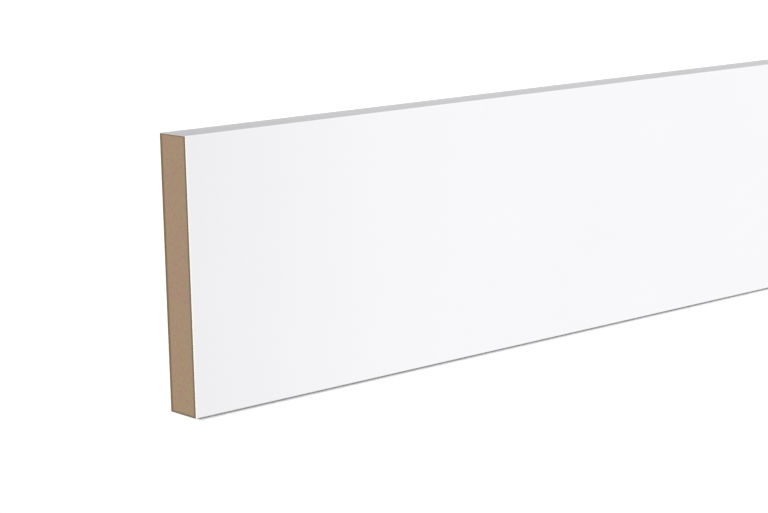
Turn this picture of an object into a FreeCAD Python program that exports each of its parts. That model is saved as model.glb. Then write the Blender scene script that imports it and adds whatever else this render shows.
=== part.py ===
"""A length of square-edge skirting board, moulded in one piece from MDF and sawn square at both ends.

The board lies flat on its back, as it would on a level floor. The origin is the middle of the back
face. +X runs along the length, +Y points to the edge that is uppermost on a wall, and +Z points out of
the front face. One pass through the moulder planes the strip to its section and eases its four long
arrises, so the section is one sketch, and the board is that sketch carried along the length.
"""

import FreeCAD, Part
import os

import Sketcher

# Driving dimensions in millimetres: alias, value and what it measures.
DRIVING_DIMENSIONS = (
    ("board_length", 2400.0, "stock length between the two sawn ends"),
    ("board_height", 120.0, "height on the wall, from the floor edge to the top edge"),
    ("board_thickness", 18.0, "from the back face to the front face"),
    ("front_arris_radius", 0.5, "easing of the two long front arrises"),
    ("back_arris_radius", 0.3, "easing of the two long back arrises"),
)
SHEET_LABEL = "Dimensions"
OUTPUT_FOLDER = "parts"

# Directions in the section: its horizontal axis is the board's height, its vertical one the thickness.
TO_TOP = FreeCAD.Vector(1, 0)
TO_FLOOR = FreeCAD.Vector(-1, 0)
TO_FRONT = FreeCAD.Vector(0, 1)
TO_BACK = FreeCAD.Vector(0, -1)


def make_dimension_sheet(doc):
    """Puts every driving dimension in a cell of its own, which has the dimension's name as its alias."""
    sheet = doc.addObject("Spreadsheet::Sheet", "DimensionSheet")
    sheet.Label = SHEET_LABEL
    for row, (alias, value, meaning) in enumerate(DRIVING_DIMENSIONS, start=1):
        sheet.set(f"A{row}", alias)
        sheet.set(f"B{row}", str(value))
        sheet.set(f"C{row}", meaning)
        sheet.setAlias(f"B{row}", alias)
    doc.recompute()
    return sheet


def flat(sketch, start, end):
    """Draws one flat side of the section and returns its number in the sketch."""
    return sketch.addGeometry(Part.LineSegment(start, end))


def arris(sketch, corner, came_from, goes_to, radius):
    """Draws the quarter circle that eases one corner of the section, and returns its number.

    corner is the point where the two flats would meet. came_from and goes_to are the directions from
    it along the flat before and the flat after.
    """
    start = corner + came_from * radius
    end = corner + goes_to * radius
    centre = start + goes_to * radius
    middle = centre + (corner - centre).normalize() * radius
    return sketch.addGeometry(Part.Arc(start, middle, end))


def draw_section(body, sheet):
    """Draws the moulded section across the length, anticlockwise as seen from the +X end."""
    cross_plane = next(item for item in body.Origin.OriginFeatures if item.Role == "YZ_Plane")
    sketch = body.newObject("Sketcher::SketchObject", "MouldedSection")
    sketch.AttachmentSupport = [(cross_plane, "")]
    sketch.MapMode = "FlatFace"

    # Numbers of the sketch's own two axes, and of the two ends of each line or arc in it.
    horizontal_axis, vertical_axis = -1, -2
    start, end = 1, 2

    height = sheet.board_height
    thickness = sheet.board_thickness
    front_ease = sheet.front_arris_radius
    back_ease = sheet.back_arris_radius
    back_floor = TO_FLOOR * (height / 2)
    back_top = TO_TOP * (height / 2)
    front_top = back_top + TO_FRONT * thickness
    front_floor = back_floor + TO_FRONT * thickness

    back_face = flat(sketch, back_floor + TO_TOP * back_ease, back_top + TO_FLOOR * back_ease)
    top_back = arris(sketch, back_top, TO_FLOOR, TO_FRONT, back_ease)
    top_edge = flat(sketch, back_top + TO_FRONT * back_ease, front_top + TO_BACK * front_ease)
    top_front = arris(sketch, front_top, TO_BACK, TO_FLOOR, front_ease)
    front_face = flat(sketch, front_top + TO_FLOOR * front_ease, front_floor + TO_TOP * front_ease)
    floor_front = arris(sketch, front_floor, TO_TOP, TO_BACK, front_ease)
    floor_edge = flat(sketch, front_floor + TO_BACK * front_ease, back_floor + TO_FRONT * back_ease)
    floor_back = arris(sketch, back_floor, TO_FRONT, TO_TOP, back_ease)

    # Every flat runs into its arris without a break, all the way round.
    outline = (
        back_face,
        top_back,
        top_edge,
        top_front,
        front_face,
        floor_front,
        floor_edge,
        floor_back,
    )
    for piece, next_piece in zip(outline, outline[1:] + outline[:1]):
        sketch.addConstraint(Sketcher.Constraint("Tangent", piece, end, next_piece, start))
    sketch.addConstraint(Sketcher.Constraint("Vertical", top_edge))
    sketch.addConstraint(Sketcher.Constraint("Horizontal", front_face))
    sketch.addConstraint(Sketcher.Constraint("Vertical", floor_edge))
    sketch.addConstraint(Sketcher.Constraint("Equal", top_front, floor_front))
    sketch.addConstraint(Sketcher.Constraint("Equal", top_back, floor_back))

    # The back face lies on the floor plane, and its middle is at the origin.
    sketch.addConstraint(Sketcher.Constraint("PointOnObject", back_face, start, horizontal_axis))
    sketch.addConstraint(
        Sketcher.Constraint("Symmetric", back_face, start, back_face, end, vertical_axis)
    )

    across = Sketcher.Constraint("DistanceX", floor_edge, end, top_edge, start, height)
    through = Sketcher.Constraint("DistanceY", back_face, end, front_face, start, thickness)
    sizes = (
        ("board_height", across),
        ("board_thickness", through),
        ("front_arris_radius", Sketcher.Constraint("Radius", top_front, front_ease)),
        ("back_arris_radius", Sketcher.Constraint("Radius", top_back, back_ease)),
    )
    for alias, constraint in sizes:
        number = sketch.addConstraint(constraint)
        sketch.renameConstraint(number, alias)
        sketch.setExpression(f"Constraints.{alias}", f"<<{SHEET_LABEL}>>.{alias}")
    return sketch


def make_skirting_board(doc, sheet):
    """Carries the moulded section along the length, equally both ways from the middle."""
    body = doc.addObject("PartDesign::Body", "SkirtingBoard")
    body.Label = "skirting_board"
    section = draw_section(body, sheet)
    doc.recompute()

    length = body.newObject("PartDesign::Pad", "SawnLength")
    length.Profile = section
    length.SideType = "Symmetric"
    length.setExpression("Length", f"<<{SHEET_LABEL}>>.board_length")
    section.Visibility = False
    body.Placement = FreeCAD.Placement(FreeCAD.Vector(0, 0, 0), FreeCAD.Rotation())
    return body


def check_document(doc):
    """Stops if any object failed to compute, or a sketch is left with freedom to move."""
    for item in doc.Objects:
        if "Invalid" in item.State or "Error" in item.State:
            raise RuntimeError(f"{item.Label} failed: {item.State}")
        if item.isDerivedFrom("Sketcher::SketchObject") and not item.FullyConstrained:
            raise RuntimeError(f"{item.Label} isn't fully constrained")


def write_part(body):
    """Writes one sub-part to a file that has the sub-part's name, if its shape is one valid solid."""
    shape = body.Shape
    if shape.isNull() or not shape.isValid() or len(shape.Solids) != 1:
        raise RuntimeError(f"{body.Label} isn't one valid solid")
    shape.exportStep(os.path.join(OUTPUT_FOLDER, f"{body.Label}.step"))
    box = shape.BoundBox
    print(
        f"{body.Label}: {box.XLength:.2f} x {box.YLength:.2f} x {box.ZLength:.2f} mm, "
        f"{shape.Volume:.0f} mm3, {len(shape.Faces)} faces"
    )


os.makedirs(OUTPUT_FOLDER, exist_ok=True)
document = FreeCAD.newDocument("SkirtingBoardLength")
dimensions = make_dimension_sheet(document)
skirting_board = make_skirting_board(document, dimensions)
document.recompute()
check_document(document)
write_part(skirting_board)
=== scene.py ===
from math import atan, cos, hypot, pi, radians, sin

import bmesh
import bpy
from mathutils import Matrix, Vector, noise


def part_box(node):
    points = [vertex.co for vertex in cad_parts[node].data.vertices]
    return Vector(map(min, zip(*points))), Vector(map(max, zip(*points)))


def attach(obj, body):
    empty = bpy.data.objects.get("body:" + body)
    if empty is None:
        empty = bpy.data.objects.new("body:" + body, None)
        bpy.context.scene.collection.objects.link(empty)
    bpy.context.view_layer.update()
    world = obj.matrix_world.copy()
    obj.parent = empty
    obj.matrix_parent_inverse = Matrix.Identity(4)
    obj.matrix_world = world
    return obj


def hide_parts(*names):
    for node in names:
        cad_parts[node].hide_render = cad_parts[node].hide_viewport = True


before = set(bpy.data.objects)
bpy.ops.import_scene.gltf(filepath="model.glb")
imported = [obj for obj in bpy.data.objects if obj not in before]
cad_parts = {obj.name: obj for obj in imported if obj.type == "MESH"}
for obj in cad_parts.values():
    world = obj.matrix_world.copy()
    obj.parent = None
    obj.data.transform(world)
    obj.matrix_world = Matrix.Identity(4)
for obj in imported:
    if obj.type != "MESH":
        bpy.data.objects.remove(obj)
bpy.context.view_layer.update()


# The skirting board
# One strip of medium-density fibreboard (MDF), planed to a square-edge section by a moulder, which
# also eases its long arrises. It is sprayed white all round in the factory and cut to length last,
# so the coat covers the long faces and the two sawn ends are bare.

MM = 0.001
low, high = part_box("skirting_board")
LEFT_END, FLOOR_SIDE, BACK = low
RIGHT_END, TOP_SIDE, FRONT = high

FRONT_ARRIS = 0.5 * MM
BACK_ARRIS = 0.3 * MM
ARRIS_STEPS = 8

# Round each sawn end the saw broke the coat back a little from the cut, unevenly and furthest on the
# front and the two edges, hardly at all on the back, where the cut was held down. Its edge is a narrow
# rim, rounded over the thickness of the coat.
RIM_LENGTH = 0.8 * MM
BACK_RIM_LENGTH = 0.15 * MM
RIM_GROWS_OVER = 4 * MM
RIM_DEPTH = 0.12 * MM
RIM_STEPS = 4
RIM_UNEVENNESS = 0.4
RIM_BREAK_LENGTH = 1.5 * MM
RIM_BREAK_SEED = 11

# Relief of the bare ends: feed marks of a 305 mm blade that came down through the front face, and
# the fibres that it tore. These are drawn thicker than real ones, so that the end's grid can hold them.
BLADE_RADIUS = 152 * MM
BLADE_CENTRE = (-25 * MM, FRONT + 140 * MM)
FEED_MARK_PITCH = 2.6 * MM
FEED_MARK_DEPTH = 0.02 * MM
TORN_FIBRE_LENGTH = 2.0 * MM
TORN_FIBRE_WIDTH = 0.8 * MM
TORN_FIBRE_DEPTH = 0.04 * MM
TORN_FIBRE_SEED = 7

# The flat sides are wide strips along the board, which split into narrow ones just before each end.
# A bare end is a grid of narrow cells, set in from the arrises.
WIDE_STRIPS_ACROSS = 16
WIDE_STRIPS_THROUGH = 2
NARROW_IN_WIDE = 16
CELLS_ACROSS = WIDE_STRIPS_ACROSS * NARROW_IN_WIDE
CELLS_THROUGH = WIDE_STRIPS_THROUGH * NARROW_IN_WIDE
GRID_INSET = 0.9 * MM
END_BAND = 6 * MM
STATIONS = 24


def section_outline():
    """The moulded section's outline: (y, z, outward y, outward z) of each point.

    It starts at the back of the top edge, crosses that edge to the front face, and comes back round.
    """
    eased_corners = (
        (TOP_SIDE - BACK_ARRIS, BACK + BACK_ARRIS, BACK_ARRIS, -90),
        (TOP_SIDE - FRONT_ARRIS, FRONT - FRONT_ARRIS, FRONT_ARRIS, 0),
        (FLOOR_SIDE + FRONT_ARRIS, FRONT - FRONT_ARRIS, FRONT_ARRIS, 90),
        (FLOOR_SIDE + BACK_ARRIS, BACK + BACK_ARRIS, BACK_ARRIS, 180),
    )
    arcs = []
    for y, z, radius, first_angle in eased_corners:
        turns = [radians(first_angle + 90 * step / ARRIS_STEPS) for step in range(ARRIS_STEPS + 1)]
        arcs.append([(y + radius * cos(a), z + radius * sin(a), cos(a), sin(a)) for a in turns])
    outline = []
    for arc, next_arc, cells in zip(arcs, arcs[1:] + arcs[:1], (CELLS_THROUGH, CELLS_ACROSS) * 2):
        outline += arc
        (y, z, out_y, out_z), (far_y, far_z, _, _) = arc[-1], next_arc[0]
        for cell in range(1, cells):
            share = cell / cells
            outline.append((y + (far_y - y) * share, z + (far_z - z) * share, out_y, out_z))
    return outline


def grid_partners():
    """For each point of the outline, the column and row of the end's grid that it is joined to."""
    corners = ((CELLS_ACROSS, 0), (CELLS_ACROSS, CELLS_THROUGH), (0, CELLS_THROUGH), (0, 0))
    round_the_grid = (
        [(CELLS_ACROSS, row) for row in range(CELLS_THROUGH)]
        + [(column, CELLS_THROUGH) for column in range(CELLS_ACROSS, 0, -1)]
        + [(0, row) for row in range(CELLS_THROUGH, 0, -1)]
        + [(column, 0) for column in range(CELLS_ACROSS)]
    )
    partners = []
    for place in round_the_grid:
        partners += [place] * (ARRIS_STEPS + 1 if place in corners else 1)
    return partners


OUTLINE = section_outline()
PARTNERS = grid_partners()
WIDE_POSTS = [
    number
    for number, (column, row) in enumerate(PARTNERS)
    if column % NARROW_IN_WIDE == 0 and row % NARROW_IN_WIDE == 0
]
distance_round = [0.0]
for (y, z, _, _), (next_y, next_z, _, _) in zip(OUTLINE, OUTLINE[1:] + OUTLINE[:1]):
    distance_round.append(distance_round[-1] + hypot(next_y - y, next_z - z))
PERIMETER = distance_round.pop()

# The finishes, numbered in the order in which their materials are added.
COAT, THIN_COAT, BROKEN_COAT, BARE = range(4)

board_mesh = bmesh.new()
post_distance = {}
post_normal = {}


def add_post(place, normal, number=None):
    """Adds one vertex, with the normal that shades it and its distance round the outline."""
    post = board_mesh.verts.new(place)
    post_normal[post] = normal
    if number is not None:
        post_distance[post] = distance_round[number]
    return post


def add_face(corners, finish):
    """Adds one smoothly shaded face in that finish."""
    face = board_mesh.faces.new(corners)
    face.material_index = finish
    face.smooth = True


def side_finish(number):
    """The finish that starts at this point of the outline. The back comes last, with a thinner coat."""
    return THIN_COAT if number >= len(OUTLINE) - CELLS_ACROSS else COAT


def ring_at(x, numbers):
    """A ring of vertices on the long faces, at these points of the outline."""
    ring = []
    for number in numbers:
        y, z, out_y, out_z = OUTLINE[number]
        ring.append(add_post((x, y, z), Vector((0, out_y, out_z)), number))
    return ring


def join_rings(ring, next_ring, finishes):
    """Joins two rings with a face before each of their vertices, in that vertex's finish."""
    for place, finish in enumerate(finishes):
        add_face((ring[place - 1], ring[place], next_ring[place], next_ring[place - 1]), finish)


def join_narrow_to_wide(narrow_ring, wide_ring):
    """Joins the narrow strips round an end to the wide strips of the long faces."""
    for place, number in enumerate(WIDE_POSTS):
        first = WIDE_POSTS[place - 1]
        last = number if number > first else number + len(OUTLINE)
        narrow = [narrow_ring[n % len(OUTLINE)] for n in range(first, last + 1)]
        add_face(narrow + [wide_ring[place], wide_ring[place - 1]], side_finish(first))


def rim_size(y, z, end):
    """The rim's length along the board and its depth into the section, at this point of the outline."""
    growth = min(1, (z - BACK) / RIM_GROWS_OVER)
    place = Vector((end * RIM_BREAK_SEED, y / RIM_BREAK_LENGTH, z / RIM_BREAK_LENGTH))
    share = 1 + RIM_UNEVENNESS * noise.noise(place)
    length = BACK_RIM_LENGTH + (RIM_LENGTH - BACK_RIM_LENGTH) * growth
    return length * share, RIM_DEPTH * share


def sawn_depth(y, z, end):
    """How far a bare end lies in from its highest point, under the blade's marks and torn fibres."""
    from_blade_centre = hypot(y - BLADE_CENTRE[0], z - BLADE_CENTRE[1])
    mark = 0.5 + 0.5 * cos(2 * pi * (from_blade_centre - BLADE_RADIUS) / FEED_MARK_PITCH)
    place = Vector((end * TORN_FIBRE_SEED, y / TORN_FIBRE_LENGTH, z / TORN_FIBRE_WIDTH))
    fibre = 0.5 + 0.5 * noise.noise(place)
    return FEED_MARK_DEPTH * mark + TORN_FIBRE_DEPTH * fibre


def build_rim(x, end):
    """Builds the coat's broken edge round a sawn end. Returns its inner and its outer ring."""
    rings = []
    for step in range(RIM_STEPS + 1):
        turn = pi / 2 * step / RIM_STEPS
        ring = []
        for number, (y, z, out_y, out_z) in enumerate(OUTLINE):
            length, depth = rim_size(y, z, end)
            inset = depth * (1 - sin(turn))
            place = (x - end * length * (1 - cos(turn)), y - out_y * inset, z - out_z * inset)
            outwards = length * sin(turn)
            normal = Vector((end * depth * cos(turn), out_y * outwards, out_z * outwards))
            ring.append(add_post(place, normal.normalized(), number))
        rings.append(ring)
    for ring, next_ring in zip(rings, rings[1:]):
        join_rings(ring, next_ring, [BROKEN_COAT] * len(OUTLINE))
    return rings[0], rings[-1]


def build_bare_end(x, end, rim):
    """Fills the rim with the sawn face: a grid in relief, and a border that joins it to the rim."""
    use_auto_normal = Vector()
    grid_height = TOP_SIDE - FLOOR_SIDE - 2 * GRID_INSET
    grid_thickness = FRONT - BACK - 2 * GRID_INSET
    grid = {}
    for column in range(CELLS_ACROSS + 1):
        for row in range(CELLS_THROUGH + 1):
            y = FLOOR_SIDE + GRID_INSET + grid_height * column / CELLS_ACROSS
            z = BACK + GRID_INSET + grid_thickness * row / CELLS_THROUGH
            grid[column, row] = add_post((x - end * sawn_depth(y, z, end), y, z), use_auto_normal)
    for column in range(CELLS_ACROSS):
        for row in range(CELLS_THROUGH):
            cell = ((column, row), (column + 1, row), (column + 1, row + 1), (column, row + 1))
            add_face([grid[place] for place in cell], BARE)
    for number, post in enumerate(rim):
        before, after = PARTNERS[number - 1], PARTNERS[number]
        corners = [rim[number - 1], post, grid[after]]
        if before != after:
            corners.append(grid[before])
        add_face(corners, BARE)


def build_board():
    """Builds the two bare ends with their rims, and then the long faces between them."""
    left_rim, left_narrow = build_rim(LEFT_END, -1)
    right_rim, right_narrow = build_rim(RIGHT_END, 1)
    build_bare_end(LEFT_END, -1, left_rim)
    build_bare_end(RIGHT_END, 1, right_rim)
    spacing = (RIGHT_END - LEFT_END) / STATIONS
    stations = [LEFT_END + spacing * number for number in range(1, STATIONS)]
    stations = [LEFT_END + END_BAND, *stations, RIGHT_END - END_BAND]
    rings = [ring_at(x, WIDE_POSTS) for x in stations]
    finishes = [side_finish(WIDE_POSTS[place - 1]) for place in range(len(WIDE_POSTS))]
    join_narrow_to_wide(left_narrow, rings[0])
    join_narrow_to_wide(right_narrow, rings[-1])
    for ring, next_ring in zip(rings, rings[1:]):
        join_rings(ring, next_ring, finishes)
    bmesh.ops.recalc_face_normals(board_mesh, faces=board_mesh.faces)


build_board()

# The map for baked colours: the long faces unrolled, cut into thirds and stacked, with the two bare
# ends beside each other above them, three times as large.
THIRDS = 3
THIRD_LENGTH = (RIGHT_END - LEFT_END) / THIRDS
MAP_GAP = 4 * MM
END_ENLARGEMENT = 3
MAP_WIDTH = THIRD_LENGTH + 2 * MAP_GAP
MAP_HEIGHT = THIRDS * (PERIMETER + MAP_GAP) + END_ENLARGEMENT * (FRONT - BACK) + 2 * MAP_GAP

bake_map = board_mesh.loops.layers.uv.new("OFBake")
for face in board_mesh.faces:
    middle = face.calc_center_median()
    if face.material_index == BARE:
        left = MAP_GAP if middle.x < 0 else MAP_WIDTH / 2 + MAP_GAP
        bottom = THIRDS * (PERIMETER + MAP_GAP) + MAP_GAP
        for loop in face.loops:
            place = loop.vert.co
            across = left + END_ENLARGEMENT * (place.y - FLOOR_SIDE)
            up = bottom + END_ENLARGEMENT * (place.z - BACK)
            loop[bake_map].uv = (across / MAP_WIDTH, up / MAP_HEIGHT)
        continue
    third = int((middle.x - LEFT_END) / THIRD_LENGTH)
    left = LEFT_END + third * THIRD_LENGTH
    distances = [post_distance[loop.vert] for loop in face.loops]
    is_last_strip = max(distances) - min(distances) > PERIMETER / 2
    for loop, distance in zip(face.loops, distances):
        if is_last_strip and distance < PERIMETER / 2:
            distance += PERIMETER
        across = MAP_GAP + loop.vert.co.x - left
        up = MAP_GAP + third * (PERIMETER + MAP_GAP) + distance
        loop[bake_map].uv = (across / MAP_WIDTH, up / MAP_HEIGHT)

board_data = bpy.data.meshes.new("primed_skirting_board")
board_mesh.to_mesh(board_data)
board_data.normals_split_custom_set_from_vertices([post_normal[post] for post in board_mesh.verts])
board_mesh.free()
board = bpy.data.objects.new("primed_skirting_board", board_data)
bpy.context.scene.collection.objects.link(board)


def linear(hex_colour):
    """The linear RGBA of an sRGB colour written as #RRGGBB."""
    channels = [int(hex_colour[n : n + 2], 16) / 255 for n in (1, 3, 5)]
    return (*(c / 12.92 if c <= 0.04045 else ((c + 0.055) / 1.055) ** 2.4 for c in channels), 1)


def add_node(tree, kind, sockets=None, **settings):
    """Adds a node. sockets gives each input a value, or links it to another node's output."""
    node = tree.nodes.new(kind)
    for name, value in settings.items():
        setattr(node, name, value)
    for name, value in (sockets or {}).items():
        if isinstance(value, bpy.types.NodeSocket):
            tree.links.new(value, node.inputs[name])
        else:
            node.inputs[name].default_value = value
    return node


def new_material(name):
    """A material whose node tree is still empty."""
    material = bpy.data.materials.new(name)
    material.use_nodes = True
    material.node_tree.nodes.clear()
    return material


# A Mix node's colour sockets share their names with other sockets, so they go by number.
MIX_SHARE = 0
MIX_FROM = 6
MIX_TO = 7
MIX_RESULT = 2


def streaks(tree, place, size):
    """An uneven pattern, drawn out to that size along X, Y and Z."""
    drawn_out = add_node(
        tree,
        "ShaderNodeVectorMath",
        {0: place, 1: [1 / length for length in size]},
        operation="MULTIPLY",
    )
    pattern = add_node(
        tree,
        "ShaderNodeTexNoise",
        {"Vector": drawn_out.outputs["Vector"], "Scale": 1.0, "Detail": 2.0},
    )
    return pattern.outputs["Fac"]


# Almost all of a streak pattern lies between these two values.
STREAK_LOW = 0.3
STREAK_HIGH = 0.7

# Spray primer: a white acrylic coat, about 0.1 mm, sanded once along the board between two passes.
# It holds more filler than resin, so it is matt and has half the gloss of bare acrylic. A fine orange
# peel and the sanding lines show close up. The lines are drawn wide, because real ones are too fine to
# show.
PRIMER_WHITE = "#ECECEE"
PRIMER_SHADE = "#EAEAEC"
PRIMER_CLOUD_SIZE = 45 * MM
ORANGE_PEEL_SIZE = 1.1 * MM
ORANGE_PEEL_HEIGHT = 0.008 * MM
SANDING_LINE_LENGTH = 60 * MM
SANDING_LINE_WIDTH = 0.6 * MM
SANDING_LINE_HEIGHT = 0.003 * MM
PRIMER_ROUGHNESS_LOW = 0.8
PRIMER_ROUGHNESS_HIGH = 0.9
PRIMER_GLOSS = 0.25
ACRYLIC_IOR = 1.5


def spray_primer():
    """The coat on the front face, the two edges and the arrises."""
    material = new_material("spray_primer")
    tree = material.node_tree
    place = add_node(tree, "ShaderNodeTexCoord").outputs["Object"]
    clouds = add_node(
        tree,
        "ShaderNodeTexNoise",
        {"Vector": place, "Scale": 1 / PRIMER_CLOUD_SIZE, "Detail": 3.0},
    )
    colour = add_node(
        tree,
        "ShaderNodeMix",
        {
            MIX_SHARE: clouds.outputs["Fac"],
            MIX_FROM: linear(PRIMER_SHADE),
            MIX_TO: linear(PRIMER_WHITE),
        },
        data_type="RGBA",
    )
    peel = add_node(
        tree,
        "ShaderNodeTexNoise",
        {"Vector": place, "Scale": 1 / ORANGE_PEEL_SIZE, "Detail": 1.0},
    )
    sanding = streaks(tree, place, (SANDING_LINE_LENGTH, SANDING_LINE_WIDTH, SANDING_LINE_WIDTH))
    roughness = add_node(
        tree,
        "ShaderNodeMapRange",
        {
            "Value": sanding,
            "From Min": STREAK_LOW,
            "From Max": STREAK_HIGH,
            "To Min": PRIMER_ROUGHNESS_LOW,
            "To Max": PRIMER_ROUGHNESS_HIGH,
        },
    )
    peel_bump = add_node(
        tree,
        "ShaderNodeBump",
        {"Height": peel.outputs["Fac"], "Distance": ORANGE_PEEL_HEIGHT, "Strength": 1.0},
    )
    bump = add_node(
        tree,
        "ShaderNodeBump",
        {
            "Height": sanding,
            "Distance": SANDING_LINE_HEIGHT,
            "Strength": 1.0,
            "Normal": peel_bump.outputs["Normal"],
        },
    )
    paint = add_node(
        tree,
        "ShaderNodeBsdfPrincipled",
        {
            "Base Color": colour.outputs[MIX_RESULT],
            "Roughness": roughness.outputs["Result"],
            "IOR": ACRYLIC_IOR,
            "Specular IOR Level": PRIMER_GLOSS,
            "Normal": bump.outputs["Normal"],
        },
    )
    add_node(tree, "ShaderNodeOutputMaterial", {"Surface": paint.outputs["BSDF"]})
    return material


# Thin back coat: a single light pass of the same primer, not sanded. It sinks into the fibres, so
# the brown of the board comes through in clouds and along single fibres. The fibres are drawn thick,
# because real ones are too fine to show.
BACK_COAT_WHITE = "#E4E1DB"
BACK_COAT_BROWN = "#D8CDBE"
BACK_CLOUD_SIZE = 60 * MM
RAISED_FIBRE_LENGTH = 4 * MM
RAISED_FIBRE_WIDTH = 0.5 * MM
RAISED_FIBRE_HEIGHT = 0.02 * MM
BROWN_SHOWS_ABOVE = 0.85
BROWN_FULL_ABOVE = 1.3
BACK_COAT_ROUGHNESS = 0.75


def thin_back_coat():
    """The coat on the back face."""
    material = new_material("thin_back_coat")
    tree = material.node_tree
    place = add_node(tree, "ShaderNodeTexCoord").outputs["Object"]
    clouds = add_node(
        tree,
        "ShaderNodeTexNoise",
        {"Vector": place, "Scale": 1 / BACK_CLOUD_SIZE, "Detail": 4.0},
    )
    fibres = streaks(tree, place, (RAISED_FIBRE_LENGTH, RAISED_FIBRE_WIDTH, RAISED_FIBRE_WIDTH))
    cloud_and_fibre = add_node(
        tree, "ShaderNodeMath", {0: clouds.outputs["Fac"], 1: fibres}, operation="ADD"
    )
    brown_share = add_node(
        tree,
        "ShaderNodeMapRange",
        {
            "Value": cloud_and_fibre.outputs["Value"],
            "From Min": BROWN_SHOWS_ABOVE,
            "From Max": BROWN_FULL_ABOVE,
        },
    )
    colour = add_node(
        tree,
        "ShaderNodeMix",
        {
            MIX_SHARE: brown_share.outputs["Result"],
            MIX_FROM: linear(BACK_COAT_WHITE),
            MIX_TO: linear(BACK_COAT_BROWN),
        },
        data_type="RGBA",
    )
    bump = add_node(
        tree,
        "ShaderNodeBump",
        {"Height": fibres, "Distance": RAISED_FIBRE_HEIGHT, "Strength": 1.0},
    )
    coat = add_node(
        tree,
        "ShaderNodeBsdfPrincipled",
        {
            "Base Color": colour.outputs[MIX_RESULT],
            "Roughness": BACK_COAT_ROUGHNESS,
            "IOR": ACRYLIC_IOR,
            "Normal": bump.outputs["Normal"],
        },
    )
    add_node(tree, "ShaderNodeOutputMaterial", {"Surface": coat.outputs["BSDF"]})
    return material


# Broken coat: the primer's edge where the saw broke it, rough and thin, with brown fibre dust rubbed
# into it. It is a creamy white line between the white face and the brown end.
BROKEN_COAT_CREAM = "#F7F0E6"
BROKEN_COAT_DUSTY = "#EADFD0"
DUST_SIZE = 0.9 * MM
DUST_SHOWS_ABOVE = 0.45
DUST_FULL_ABOVE = 0.7
BROKEN_COAT_ROUGHNESS = 0.85


def broken_coat():
    """The rim of the coat round the sawn ends."""
    material = new_material("broken_coat")
    tree = material.node_tree
    place = add_node(tree, "ShaderNodeTexCoord").outputs["Object"]
    dust = add_node(
        tree, "ShaderNodeTexNoise", {"Vector": place, "Scale": 1 / DUST_SIZE, "Detail": 2.0}
    )
    dust_share = add_node(
        tree,
        "ShaderNodeMapRange",
        {
            "Value": dust.outputs["Fac"],
            "From Min": DUST_SHOWS_ABOVE,
            "From Max": DUST_FULL_ABOVE,
        },
    )
    colour = add_node(
        tree,
        "ShaderNodeMix",
        {
            MIX_SHARE: dust_share.outputs["Result"],
            MIX_FROM: linear(BROKEN_COAT_CREAM),
            MIX_TO: linear(BROKEN_COAT_DUSTY),
        },
        data_type="RGBA",
    )
    edge = add_node(
        tree,
        "ShaderNodeBsdfPrincipled",
        {
            "Base Color": colour.outputs[MIX_RESULT],
            "Roughness": BROKEN_COAT_ROUGHNESS,
            "IOR": ACRYLIC_IOR,
        },
    )
    add_node(tree, "ShaderNodeOutputMaterial", {"Surface": edge.outputs["BSDF"]})
    return material


# Sawn MDF: fine wood fibre and resin, pressed hot and then cut across by a saw. It is brown and quite
# matt, with short fibres that lie along the faces, a faint mottle and a few dark specks of bark. The
# fibres are drawn thick, because real ones are too fine to show. The press leaves the board denser, and
# so darker, next to the front and the back. That skin is thicker at the back, where less was sanded
# off. The moulder's knives burnish a dark line along the two edges, a thinner one along the top. The
# wider, darker line along the floor edge is partly painted shade: a contact shadow painted onto the
# end.
MDF_REDDISH = "#A28570"
MDF_YELLOWISH = "#A08A6D"
# This dark colour also serves the painted shade along the end's floor edge.
MDF_DARK_SKIN_AND_SHADE = "#6F6453"
MDF_BARK_SPECK = "#725E49"
MOTTLE_SIZE = 5.5 * MM
MOTTLE_REDDISH_BELOW = 0.35
MOTTLE_YELLOWISH_ABOVE = 0.65
FIBRE_LENGTH = 1.6 * MM
FIBRE_WIDTH = 0.35 * MM
FIBRE_CONTRAST = 0.1
FIBRE_HEIGHT = 0.04 * MM
SPECK_SIZE = 0.8 * MM
SPECK_SHOWS_ABOVE = 0.74
SPECK_FULL_ABOVE = 0.8
SPECK_STRENGTH = 0.8
DENSE_SKIN_STARTS = 1.8 * MM
DENSE_SKIN_FULL = 0.7 * MM
THICKER_AT_BACK = 0.3 * MM
# The dark line along the two edges: burnish, and along the floor edge also painted contact shadow.
BURNISH_AND_SHADE_STARTS = 1.3 * MM
BURNISH_AND_SHADE_FULL = 0.4 * MM
THINNER_AT_TOP = 0.3 * MM
MDF_ROUGHNESS = 0.9
MDF_IOR = 1.5


def share_near_sides(tree, coordinate, lowest, highest, starts, full):
    """0 in the middle of the section, rising to 1 near its lowest and highest coordinate."""
    from_middle = add_node(
        tree, "ShaderNodeMath", {0: coordinate, 1: (lowest + highest) / 2}, operation="SUBTRACT"
    )
    off_middle = add_node(
        tree, "ShaderNodeMath", {0: from_middle.outputs["Value"]}, operation="ABSOLUTE"
    )
    half_width = (highest - lowest) / 2
    share = add_node(
        tree,
        "ShaderNodeMapRange",
        {
            "Value": off_middle.outputs["Value"],
            "From Min": half_width - starts,
            "From Max": half_width - full,
        },
        interpolation_type="SMOOTHSTEP",
    )
    return share.outputs["Result"]


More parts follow.
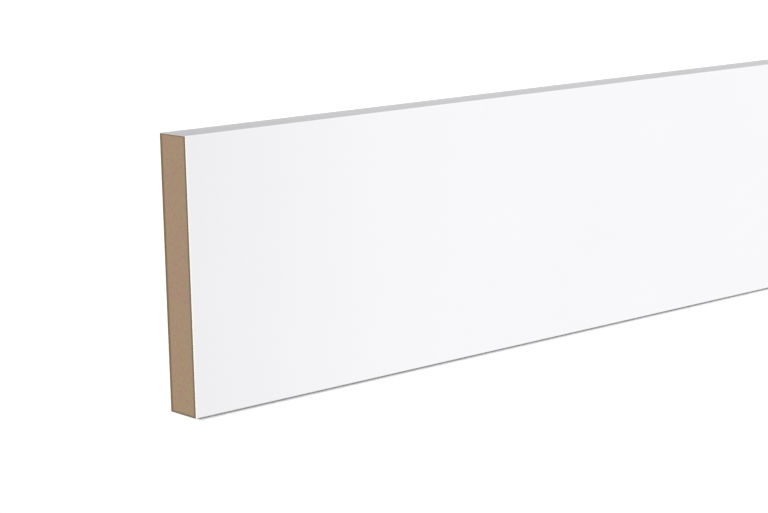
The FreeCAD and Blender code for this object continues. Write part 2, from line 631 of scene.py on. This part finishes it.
def sawn_mdf():
    """The bare ends."""
    material = new_material("sawn_mdf")
    tree = material.node_tree
    place = add_node(tree, "ShaderNodeTexCoord").outputs["Object"]
    mottle = add_node(
        tree, "ShaderNodeTexNoise", {"Vector": place, "Scale": 1 / MOTTLE_SIZE, "Detail": 2.0}
    )
    mottle_share = add_node(
        tree,
        "ShaderNodeMapRange",
        {
            "Value": mottle.outputs["Fac"],
            "From Min": MOTTLE_REDDISH_BELOW,
            "From Max": MOTTLE_YELLOWISH_ABOVE,
        },
    )
    ground = add_node(
        tree,
        "ShaderNodeMix",
        {
            MIX_SHARE: mottle_share.outputs["Result"],
            MIX_FROM: linear(MDF_REDDISH),
            MIX_TO: linear(MDF_YELLOWISH),
        },
        data_type="RGBA",
    )
    fibres = streaks(tree, place, (FIBRE_LENGTH, FIBRE_LENGTH, FIBRE_WIDTH))
    fibre_light = add_node(
        tree,
        "ShaderNodeMapRange",
        {
            "Value": fibres,
            "From Min": STREAK_LOW,
            "From Max": STREAK_HIGH,
            "To Min": 1 - FIBRE_CONTRAST,
            "To Max": 1 + FIBRE_CONTRAST,
        },
    )
    fibrous = add_node(
        tree,
        "ShaderNodeMix",
        {
            MIX_SHARE: 1.0,
            MIX_FROM: ground.outputs[MIX_RESULT],
            MIX_TO: fibre_light.outputs["Result"],
        },
        data_type="RGBA",
        blend_type="MULTIPLY",
    )
    specks = add_node(
        tree, "ShaderNodeTexNoise", {"Vector": place, "Scale": 1 / SPECK_SIZE, "Detail": 0.0}
    )
    speck_share = add_node(
        tree,
        "ShaderNodeMapRange",
        {
            "Value": specks.outputs["Fac"],
            "From Min": SPECK_SHOWS_ABOVE,
            "From Max": SPECK_FULL_ABOVE,
            "To Max": SPECK_STRENGTH,
        },
    )
    specked = add_node(
        tree,
        "ShaderNodeMix",
        {
            MIX_SHARE: speck_share.outputs["Result"],
            MIX_FROM: fibrous.outputs[MIX_RESULT],
            MIX_TO: linear(MDF_BARK_SPECK),
        },
        data_type="RGBA",
    )
    section = add_node(tree, "ShaderNodeSeparateXYZ", {"Vector": place})
    dense = share_near_sides(
        tree,
        section.outputs["Z"],
        BACK + THICKER_AT_BACK,
        FRONT,
        DENSE_SKIN_STARTS,
        DENSE_SKIN_FULL,
    )
    # Darker along the two edges: burnish, and along the floor edge also painted shade, a painted
    # contact shadow.
    burnish_and_shade = share_near_sides(
        tree,
        section.outputs["Y"],
        FLOOR_SIDE,
        TOP_SIDE + THINNER_AT_TOP,
        BURNISH_AND_SHADE_STARTS,
        BURNISH_AND_SHADE_FULL,
    )
    dark_share = add_node(tree, "ShaderNodeMath", {0: dense, 1: burnish_and_shade}, operation="MAXIMUM")
    colour = add_node(
        tree,
        "ShaderNodeMix",
        {
            MIX_SHARE: dark_share.outputs["Value"],
            MIX_FROM: specked.outputs[MIX_RESULT],
            MIX_TO: linear(MDF_DARK_SKIN_AND_SHADE),
        },
        data_type="RGBA",
    )
    bump = add_node(
        tree,
        "ShaderNodeBump",
        {"Height": fibres, "Distance": FIBRE_HEIGHT, "Strength": 1.0},
    )
    fibreboard = add_node(
        tree,
        "ShaderNodeBsdfPrincipled",
        {
            "Base Color": colour.outputs[MIX_RESULT],
            "Roughness": MDF_ROUGHNESS,
            "IOR": MDF_IOR,
            "Normal": bump.outputs["Normal"],
        },
    )
    add_node(tree, "ShaderNodeOutputMaterial", {"Surface": fibreboard.outputs["BSDF"]})
    return material


for make_finish in (spray_primer, thin_back_coat, broken_coat, sawn_mdf):
    board_data.materials.append(make_finish())

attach(board, "root")
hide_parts("skirting_board")


# The floor
# A plain sheet of paper that the board lies on, flat on its back. The camera and the board's gloss see
# it white, with the board's shadow, and a faint lift keeps it white beyond the pool lamp's patch. It
# lights the board as light grey paper would.

FLOOR_SIZE = 60.0
PAPER_GREY = "#AAAAAA"
PAPER_WHITE = "#F8F8F8"
PLAIN_WHITE = "#FFFFFF"
BACKGROUND_LIFT = 0.095


def sees_background(tree):
    """1 for rays from the camera and for those that gloss or glass sends on, and 0 for the rest."""
    rays = add_node(tree, "ShaderNodeLightPath")
    gloss_or_glass = add_node(
        tree,
        "ShaderNodeMath",
        {0: rays.outputs["Is Glossy Ray"], 1: rays.outputs["Is Transmission Ray"]},
        operation="MAXIMUM",
    )
    sees = add_node(
        tree,
        "ShaderNodeMath",
        {0: rays.outputs["Is Camera Ray"], 1: gloss_or_glass.outputs["Value"]},
        operation="MAXIMUM",
    )
    return sees.outputs["Value"]


floor_mesh = bpy.data.meshes.new("white_floor")
half_floor = FLOOR_SIZE / 2
floor_corners = [(-half_floor, -half_floor, 0), (half_floor, -half_floor, 0)]
floor_corners += [(half_floor, half_floor, 0), (-half_floor, half_floor, 0)]
floor_mesh.from_pydata(floor_corners, [], [(0, 1, 2, 3)])
floor = bpy.data.objects.new("white_floor", floor_mesh)
bpy.context.scene.collection.objects.link(floor)

floor_paper = new_material("floor_paper")
tree = floor_paper.node_tree
white = add_node(tree, "ShaderNodeBsdfDiffuse", {"Color": linear(PAPER_WHITE)})
lift = add_node(
    tree, "ShaderNodeEmission", {"Color": linear(PLAIN_WHITE), "Strength": BACKGROUND_LIFT}
)
seen = add_node(tree, "ShaderNodeAddShader", {0: white.outputs["BSDF"], 1: lift.outputs["Emission"]})
unseen = add_node(tree, "ShaderNodeBsdfDiffuse", {"Color": linear(PAPER_GREY)})
paper = add_node(
    tree,
    "ShaderNodeMixShader",
    {0: sees_background(tree), 1: unseen.outputs["BSDF"], 2: seen.outputs["Shader"]},
)
add_node(tree, "ShaderNodeOutputMaterial", {"Surface": paper.outputs["Shader"]})
floor_mesh.materials.append(floor_paper)


# The light
# A key lamp near the camera lights the sawn end and throws the shadow just past the floor edge. A weak
# pool from high above the top edge fades towards each end. A small low lamp lights the other sawn end,
# which the key doesn't reach, and the rest is an even white all round.

# A level is how bright a lamp alone makes a white surface, with 1 as full white: the board's upward
# face, or for the far-end lamp that end.
KEY_LEVEL = 0.855
KEY_FROM = Vector((-0.85, 0.37, 1.0)).normalized()
KEY_SPREAD = radians(3.0)

POOL_LEVEL = 0.15
POOL_FROM = Vector((0, 2.7, 6.0))
POOL_OUTER_RADIUS = RIGHT_END + 0.1
POOL_INNER_RADIUS = RIGHT_END - 0.15
POOL_BULB_RADIUS = 0.02

FAR_END_LEVEL = 0.4
FAR_END_FROM = Vector((1.0, 0.05, 0.12))
FAR_END_OUTER_RADIUS = 0.16
FAR_END_INNER_RADIUS = 0.07
FAR_END_BULB_RADIUS = 0.05

FILL_LEVEL = 0.12
SEEN_LEVEL = 1.0


def add_lamp(name, kind, lit, shines_from):
    """Adds a lamp aimed at the lit point. shines_from leads from that point to the lamp."""
    lamp = bpy.data.objects.new(name, bpy.data.lights.new(name, kind))
    lamp.location = lit + shines_from
    lamp.rotation_mode = "QUATERNION"
    lamp.rotation_quaternion = shines_from.to_track_quat("Z", "Y")
    bpy.context.scene.collection.objects.link(lamp)
    return lamp


def spot_power(level, distance, height):
    """The power that gives a surface that level, from that distance and that height above it."""
    return 4 * pi**2 * distance**3 / height * level


def set_cone(lamp, distance, outer_radius, inner_radius):
    """Makes a spot's patch of light at that distance fade from the inner to the outer radius."""
    lamp.data.spot_size = 2 * atan(outer_radius / distance)
    lamp.data.spot_blend = 1 - (inner_radius / outer_radius) ** 2


key = add_lamp("key_lamp", "SUN", Vector(), KEY_FROM)
key.data.energy = pi * KEY_LEVEL / KEY_FROM.z
key.data.angle = KEY_SPREAD

pool = add_lamp("pool_lamp", "SPOT", Vector(), POOL_FROM)
pool.data.energy = spot_power(POOL_LEVEL, POOL_FROM.length, POOL_FROM.z)
pool.data.shadow_soft_size = POOL_BULB_RADIUS
set_cone(pool, POOL_FROM.length, POOL_OUTER_RADIUS, POOL_INNER_RADIUS)

far_end_middle = Vector((RIGHT_END, 0, (BACK + FRONT) / 2))
far_end = add_lamp("far_end_lamp", "SPOT", far_end_middle, FAR_END_FROM)
far_end.data.energy = spot_power(FAR_END_LEVEL, FAR_END_FROM.length, FAR_END_FROM.x)
far_end.data.shadow_soft_size = FAR_END_BULB_RADIUS
far_end.visible_camera = False
set_cone(far_end, FAR_END_FROM.length, FAR_END_OUTER_RADIUS, FAR_END_INNER_RADIUS)

world = bpy.data.worlds.new("studio_white")
bpy.context.scene.world = world
world.use_nodes = True
tree = world.node_tree
tree.nodes.clear()
white_all_round = linear(PLAIN_WHITE)
fill = add_node(tree, "ShaderNodeBackground", {"Color": white_all_round, "Strength": FILL_LEVEL})
backdrop = add_node(tree, "ShaderNodeBackground", {"Color": white_all_round, "Strength": SEEN_LEVEL})
all_round = add_node(
    tree,
    "ShaderNodeMixShader",
    {0: sees_background(tree), 1: fill.outputs["Background"], 2: backdrop.outputs["Background"]},
)
add_node(tree, "ShaderNodeOutputWorld", {"Surface": all_round.outputs["Shader"]})


# The camera
# It looks down on the board as it lies on its back. Seen square on, with the top edge up, it stands
# to the left, turned 41 degrees towards the right and tipped down, with a long lens.

CAMERA_PLACE = (-1.7097, 0.1693, 0.7279)
CAMERA_TIPPED_DOWN = radians(10.509)
CAMERA_TURNED_RIGHT = radians(40.971)
CAMERA_ROLLED = radians(1.282)
camera_data = bpy.data.cameras.new("camera")
camera_data.sensor_width = 36.0
camera_data.lens = 99.9
camera_data.clip_start = 0.05
camera_data.clip_end = 100.0
camera = bpy.data.objects.new("camera", camera_data)
camera.location = CAMERA_PLACE
camera.rotation_mode = "ZXY"
camera.rotation_euler = (-CAMERA_TIPPED_DOWN, -CAMERA_TURNED_RIGHT, -CAMERA_ROLLED)
bpy.context.scene.collection.objects.link(camera)
bpy.context.scene.camera = camera

bpy.context.scene.view_settings.view_transform = "Standard"
